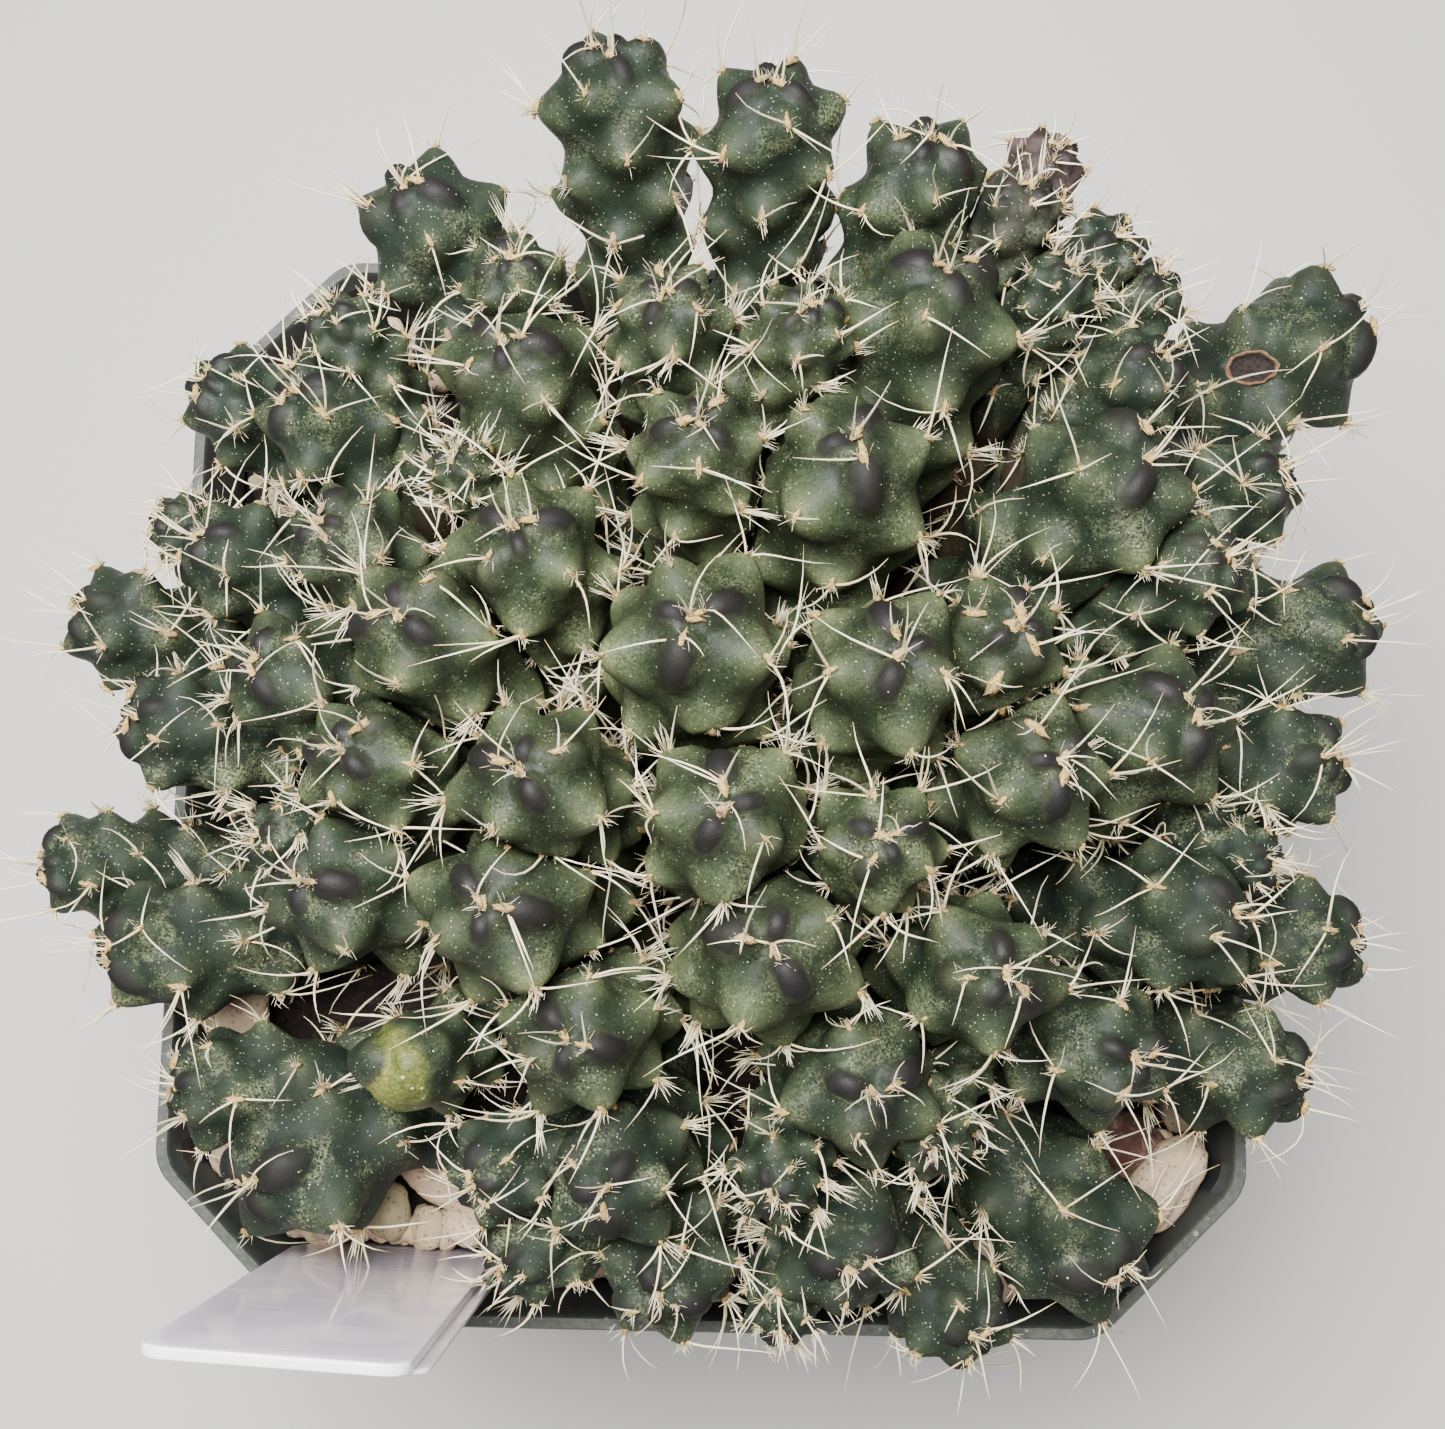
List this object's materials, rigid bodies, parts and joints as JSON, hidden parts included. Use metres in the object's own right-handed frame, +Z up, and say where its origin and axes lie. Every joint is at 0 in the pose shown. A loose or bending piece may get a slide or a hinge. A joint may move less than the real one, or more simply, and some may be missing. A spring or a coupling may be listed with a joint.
{
  "type": "potted maihueniopsis subterranea",
  "caption": "Clumping dwarf cactus with spiny tuberculate stems in a square plastic pot with soil, pumice top dressing and a blank plant tag.",
  "frame": {"origin": "middle of the pot's base, on the surface that it stands on", "axes": "+Z up, -Y towards the pot's front side, where the tag stands at the left corner, +X to the right"},
  "size_m": [0.1469, 0.1419, 0.1509],
  "materials": {
    "cactus_skin": "satin dark green skin with ivory spines and cream areoles",
    "pot_plastic": "matt, slightly dusty",
    "soil": "dark brown crumbs",
    "pumice": "rough cream and pink stones",
    "tag_plastic": "frosted translucent plastic"
  },
  "bodies": {
    "root": {"cactus_back_corner": "cactus_skin", "cactus_back_left_pair": "cactus_skin", "cactus_back_left_tall": "cactus_skin", "cactus_back_middle_tall": "cactus_skin", "cactus_back_right": "cactus_skin", "cactus_back_withered": "cactus_skin", "cactus_center": "cactus_skin", "cactus_center_front": "cactus_skin", "cactus_center_front_right": "cactus_skin", "cactus_center_left": "cactus_skin", "cactus_center_right": "cactus_skin", "cactus_front_broad": "cactus_skin", "cactus_front_edge_pair": "cactus_skin", "cactus_front_edge_right": "cactus_skin", "cactus_front_left_broad": "cactus_skin", "cactus_front_left_corner": "cactus_skin", "cactus_front_left_damaged": "cactus_skin", "cactus_front_left_inner": "cactus_skin", "cactus_front_left_pair": "cactus_skin", "cactus_front_pair": "cactus_skin", "cactus_front_right_corner": "cactus_skin", "cactus_front_right_inner": "cactus_skin", "cactus_front_right_pair": "cactus_skin", "cactus_front_right_upper": "cactus_skin", "cactus_left_center": "cactus_skin", "cactus_left_edge_long": "cactus_skin", "cactus_left_edge_low": "cactus_skin", "cactus_left_edge_pair": "cactus_skin", "cactus_left_front_edge": "cactus_skin", "cactus_left_front_inner": "cactus_skin", "cactus_left_front_outer": "cactus_skin", "cactus_left_inner": "cactus_skin", "cactus_left_inner_pair": "cactus_skin", "cactus_left_lower_pair": "cactus_skin", "cactus_left_middle": "cactus_skin", "cactus_left_upper_edge": "cactus_skin", "cactus_left_upper_pair": "cactus_skin", "cactus_middle_highest": "cactus_skin", "cactus_right_edge_lower": "cactus_skin", "cactus_right_edge_pair": "cactus_skin", "cactus_right_edge_upper": "cactus_skin", "cactus_right_front_broad": "cactus_skin", "cactus_right_front_edge": "cactus_skin", "cactus_right_inner": "cactus_skin", "cactus_right_middle": "cactus_skin", "cactus_right_middle_upper": "cactus_skin", "cactus_right_scarred": "cactus_skin", "cactus_right_upper_broad": "cactus_skin", "cactus_right_upper_edge": "cactus_skin", "cactus_right_upper_pair": "cactus_skin", "cactus_upper_broad": "cactus_skin", "cactus_upper_left": "cactus_skin", "cactus_upper_middle": "cactus_skin", "cactus_upper_middle_pair": "cactus_skin", "cactus_woolly": "cactus_skin", "gravel": "pumice", "plant_tag": "tag_plastic", "pot": "pot_plastic", "soil": "soil"}
  },
  "joints": []
}
